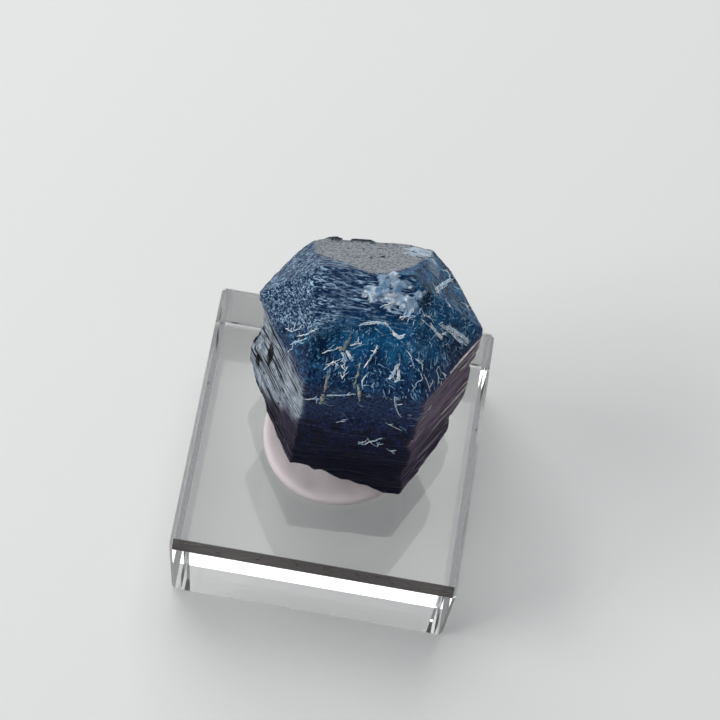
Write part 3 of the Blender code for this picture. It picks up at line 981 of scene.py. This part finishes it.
def putty_mesh():
    """The putty as a flat disc with a soft rim, risen a little where the crystal is pressed in."""
    bm = bmesh.new()
    thickness = DISC_TOP - BLOCK_HEIGHT
    bmesh.ops.create_cone(
        bm, cap_ends=True, segments=96, radius1=DISC_RADIUS, radius2=DISC_RADIUS, depth=thickness
    )
    rim = [edge for edge in bm.edges if abs(edge.verts[0].co.z - edge.verts[1].co.z) < 1e-5]
    bmesh.ops.bevel(
        bm,
        geom=rim,
        offset=0.5,
        offset_type="OFFSET",
        segments=4,
        profile=0.5,
        affect="EDGES",
        material=-1,
    )
    bmesh.ops.translate(bm, vec=(*DISC_CENTRE, (DISC_TOP + BLOCK_HEIGHT) / 2 + 0.002), verts=bm.verts)
    mesh = remesh(bm, "putty_disc", 0.16)
    points = np.zeros(len(mesh.vertices) * 3)
    mesh.vertices.foreach_get("co", points)
    points = points.reshape(-1, 3)
    flat = points[:, :2] - DISC_CENTRE
    away = np.linalg.norm(flat, axis=1)
    turn = np.arctan2(flat[:, 1], flat[:, 0])
    wobble = 0.12 * (np.sin(2 * turn + 0.7) + 0.6 * np.sin(3 * turn + 2.0))
    points[:, :2] += flat / (away[:, None] + 1e-6) * (wobble * away / DISC_RADIUS)[:, None]
    top = step_up(points[:, 2], BLOCK_HEIGHT + 0.5, DISC_TOP - 0.2)
    rise = 0.5 * (1.0 - step_up(away, 2.0, 5.5)) + 0.05 * grain(points / 1.4, 81)
    points[:, 2] += top * rise
    mesh.vertices.foreach_set("co", (points * MM).ravel())
    mesh.shade_smooth()
    return mesh


class SpecimenSizes(bpy.types.PropertyGroup):
    """Sizes that a user may change."""

    net: bpy.props.FloatProperty(
        name="Crystal net",
        description="Size of the crystal's finest faces, in millimetres",
        default=0.134,
        min=0.13,
    )
    wear: bpy.props.FloatProperty(
        name="Edge wear",
        description="How round the crystal's edges are, in millimetres",
        default=0.03,
        min=0.01,
    )
    hairs: bpy.props.IntProperty(
        name="Fine fibres", description="Sets how many short fibres there are", default=620, min=1
    )


def colour_property(name, description, value):
    """A colour that a user may change. Its default is given as an sRGB hex value."""
    return bpy.props.FloatVectorProperty(
        name=name, description=description, subtype="COLOR", min=0.0, max=1.0, default=linear(value)
    )


class SpecimenColours(bpy.types.PropertyGroup):
    """Colours that a user may change."""

    front: colour_property("Front", "Front side", "#02031f")
    front_pale: colour_property("Front, pale", "Clouds on the front side", "#1a2358")
    # Painted highlights on the front's ledges.
    front_line: colour_property("Front, lines", "Ledges on the front", "#4a4a78")
    shoulder: colour_property("Shoulder", "Front side below the tip", "#2e4470")
    tip: colour_property("Tip", "Clear tip faces", "#031a34")
    tip_teal: colour_property("Tip, teal", "Clouds in the tip", "#0a5080")
    tip_pale: colour_property("Tip, pale", "Flecks in the tip", "#7db3da")
    tip_soft: colour_property("Tip, soft", "Smoke in the tip", "#2f78a8")
    etched_dark: colour_property("Etching, low", "Etched faces", "#0a2a50")
    # Painted highlights on the etched ripples and scales.
    etched_pale: colour_property("Etching, high", "Lines on the etched faces", "#b4d8f4")
    # The left sides' silvery grey is a painted reflection of the pale surroundings.
    grey_side: colour_property("Left side", "Left sides", "#b9c5d3")
    grey_mottle: colour_property("Left side, mottled", "Its darker parts", "#8391a0")
    grey_low: colour_property("Left side, low", "Left sides near the foot", "#30283f")
    # Painted shade in the left sides' grooves and the dull face's pits; the dark chips take it too.
    grey_groove: colour_property("Left grooves", "Grooves there", "#0a0e14")
    # The right sides' ruddy grey is partly their own tint and partly a painted reflection.
    ruddy_side: colour_property("Right side", "Right sides", "#66506c")
    # Painted shade in the right sides' grooves.
    ruddy_dark: colour_property("Right grooves", "Grooves there", "#211823")
    ruddy_low: colour_property("Right side, low", "Right sides near the foot", "#382c48")
    # Painted highlights on the right sides' ledges.
    ruddy_line: colour_property("Right lines", "Pale lines there", "#b5abbb")
    matte: colour_property("Dull face", "Dull back face", "#9ea4ab")
    matte_dark: colour_property("Dull face, grain", "Its darker grain", "#5b6066")
    bloom: colour_property("Dull face, bloom", "Whitish patch on it", "#ccdbe8")
    bloom_dark: colour_property("Bloom, low", "Its thinner parts", "#8c9bab")
    broken: colour_property("Break", "Broken foot and back rim", "#122430")
    frost: colour_property("Frost", "Frosted bruises", "#f8fcff")
    frost_dark: colour_property("Frost, low", "Deeper parts of them", "#8caccb")
    frost_low: colour_property("Frost, frayed", "Thin parts of them", "#4c7ca6")
    fibre: colour_property("Fibres", "Pale fibres", "#ffffff")
    hair: colour_property("Fine fibres", "Short fine fibres", "#a0c8e6")
    fleck: colour_property("Flecks", "Tan flecks", "#bfb9a6")
    fleck_dark: colour_property("Flecks, sunk", "Sunk parts of them", "#4f6670")
    # Painted highlights on the crests of the right side's growth steps.
    crest: colour_property("Crests", "Worn crests on the right", "#efe6da")
    # White, with a slight pink that is a painted reflection.
    putty: colour_property("Putty", "White putty", "#f4e8ea")


class SpecimenLook(bpy.types.PropertyGroup):
    """All that can be set for the specimen."""

    sizes: bpy.props.PointerProperty(type=SpecimenSizes)
    colours: bpy.props.PointerProperty(type=SpecimenColours)


def chosen_colours(scene):
    """The specimen's linear colours as a plain dictionary."""
    group = scene.specimen.colours
    return {name: tuple(getattr(group, name)) for name in SpecimenColours.__annotations__}


class BuildBlock(bpy.types.Operator):
    """Gives the acrylic block its clear material"""

    bl_idname = "specimen.build_block"
    bl_label = "Acrylic block"

    def execute(self, context):
        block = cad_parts["acrylic_base"]
        block.data.materials.clear()
        block.data.materials.append(acrylic_material())
        return {"FINISHED"}


class BuildPutty(bpy.types.Operator):
    """Makes the disc of white putty"""

    bl_idname = "specimen.build_putty"
    bl_label = "Putty disc"

    def execute(self, context):
        colours = chosen_colours(context.scene)
        piece = add_piece(putty_mesh(), "putty_disc", putty_material(colours["putty"]))
        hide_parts("mineral_tack")
        return {"FINISHED"}


class BuildCrystal(bpy.types.Operator):
    """Makes the crystal, with its growth lines, etching, break and chips"""

    bl_idname = "specimen.build_crystal"
    bl_label = "Quartz crystal"

    def execute(self, context):
        sizes = context.scene.specimen.sizes
        faces = crystal_faces()
        mesh = remesh(cut_crystal(faces), "blue_quartz", sizes.net)
        points = np.zeros(len(mesh.vertices) * 3)
        mesh.vertices.foreach_get("co", points)
        points = settle(points.reshape(-1, 3), faces, sizes.wear)
        mesh.vertices.foreach_set("co", points.ravel())
        paint_crystal(mesh, points, faces)
        crystal_to_metres(mesh)
        mesh.shade_smooth()
        material = quartz_material(chosen_colours(context.scene))
        piece = add_piece(mesh, "blue_quartz", material)
        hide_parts("quartz_crystal")
        return {"FINISHED"}


class BuildFibres(bpy.types.Operator):
    """Lays the pale fibres, the fine fibres, the tan flecks and the painted highlights on the right side's
    ledges in the crystal's surface
    """

    bl_idname = "specimen.build_fibres"
    bl_label = "Fibres and flecks"

    def execute(self, context):
        colours = chosen_colours(context.scene)
        hairs = fine_strands(context.scene.specimen.sizes.hairs, 5)
        mesh = bpy.data.objects["blue_quartz"].data
        to_crystal = (Matrix.Scale(MM, 4) @ crystal_frame()).inverted()
        points = [to_crystal @ vert.co for vert in mesh.vertices]
        surface = BVHTree.FromPolygons(points, [tuple(face.vertices) for face in mesh.polygons])
        for name, strands, colour, sunk, roughness, stray in (
            ("pale_fibres", bundled(branched(drawn(PALE_FIBRES), 6), 7), "fibre", "hair", 0.5, 1.0),
            ("fine_fibres", hairs, "hair", "tip_teal", 0.5, 1.0),
            ("tan_flecks", drawn(TAN_FLECKS), "fleck", "fleck_dark", 0.7, 1.0),
            # Pale strands that are painted highlights on the right side's ledges.
            ("ledge_crests", drawn(LEDGE_HIGHLIGHTS), "crest", "ruddy_line", 0.4, 0.15),
        ):
            strand_mesh = strands_mesh(name, strands, surface, stray)
            crystal_to_metres(strand_mesh)
            material = fibre_material(name.replace("_", " "), colours[colour], colours[sunk], roughness)
            add_piece(strand_mesh, name, material)
        return {"FINISHED"}


class BuildStage(bpy.types.Operator):
    """Sets the pale floor, the soft lights and the camera"""

    bl_idname = "specimen.build_stage"
    bl_label = "Stage"

    def execute(self, context):
        scene = context.scene
        bm = bmesh.new()
        bmesh.ops.create_grid(bm, x_segments=1, y_segments=1, size=1.5)
        bmesh.ops.translate(bm, vec=(0.0, 0.0, -0.00002), verts=bm.verts)
        mesh = bpy.data.meshes.new("floor")
        bm.to_mesh(mesh)
        bm.free()
        floor = bpy.data.objects.new("floor", mesh)
        scene.collection.objects.link(floor)
        material, _, shader = new_material("pale floor")
        shader.inputs["Base Color"].default_value = (*linear("#ededec"), 1.0)
        shader.inputs["Roughness"].default_value = 0.8
        mesh.materials.append(material)
        for name, (place, size, watts) in LIGHTS.items():
            data = bpy.data.lights.new(name, "AREA")
            data.shape = "SQUARE"
            data.size = size
            data.energy = watts
            lamp = bpy.data.objects.new(name, data)
            lamp.location = place
            lamp.rotation_euler = (Vector(AIM) - Vector(place)).to_track_quat("-Z", "Y").to_euler()
            scene.collection.objects.link(lamp)
        world = bpy.data.worlds.new("studio")
        world.use_nodes = True
        background = world.node_tree.nodes["Background"]
        background.inputs["Color"].default_value = (*linear("#e9edf2"), 1.0)
        background.inputs["Strength"].default_value = 0.25
        scene.world = world
        scene.view_settings.view_transform = "Standard"
        data = bpy.data.cameras.new("photo view")
        data.lens = CAMERA_LENS
        data.sensor_width = CAMERA_SENSOR
        data.clip_start = 0.01
        camera = bpy.data.objects.new("photo view", data)
        forward, right = Vector(CAMERA_FORWARD), Vector(CAMERA_RIGHT)
        upwards = right.cross(forward)
        turned = Matrix((right, upwards, -forward)).transposed().to_4x4()
        camera.matrix_world = Matrix.Translation(Vector(CAMERA_PLACE) * MM) @ turned
        scene.collection.objects.link(camera)
        scene.camera = camera
        return {"FINISHED"}


class SpecimenPanel(bpy.types.Panel):
    """Lists the pieces of the specimen in the sidebar"""

    bl_idname = "VIEW3D_PT_specimen"
    bl_label = "Blue quartz specimen"
    bl_space_type = "VIEW_3D"
    bl_region_type = "UI"
    bl_category = "Specimen"

    def draw(self, context):
        look = context.scene.specimen
        for group in (look.sizes, look.colours):
            for name in group.__annotations__:
                self.layout.prop(group, name)
        for step in STEPS:
            self.layout.operator(step.bl_idname)


STEPS = (BuildBlock, BuildPutty, BuildCrystal, BuildFibres, BuildStage)
CLASSES = (SpecimenSizes, SpecimenColours, SpecimenLook, *STEPS, SpecimenPanel)


def register():
    for kind in CLASSES:
        bpy.utils.register_class(kind)
    bpy.types.Scene.specimen = bpy.props.PointerProperty(type=SpecimenLook)


def unregister():
    del bpy.types.Scene.specimen
    for kind in reversed(CLASSES):
        bpy.utils.unregister_class(kind)


def main():
    register()
    for step in STEPS:
        group, name = step.bl_idname.split(".")
        getattr(getattr(bpy.ops, group), name)()


if __name__ == "__main__":
    main()
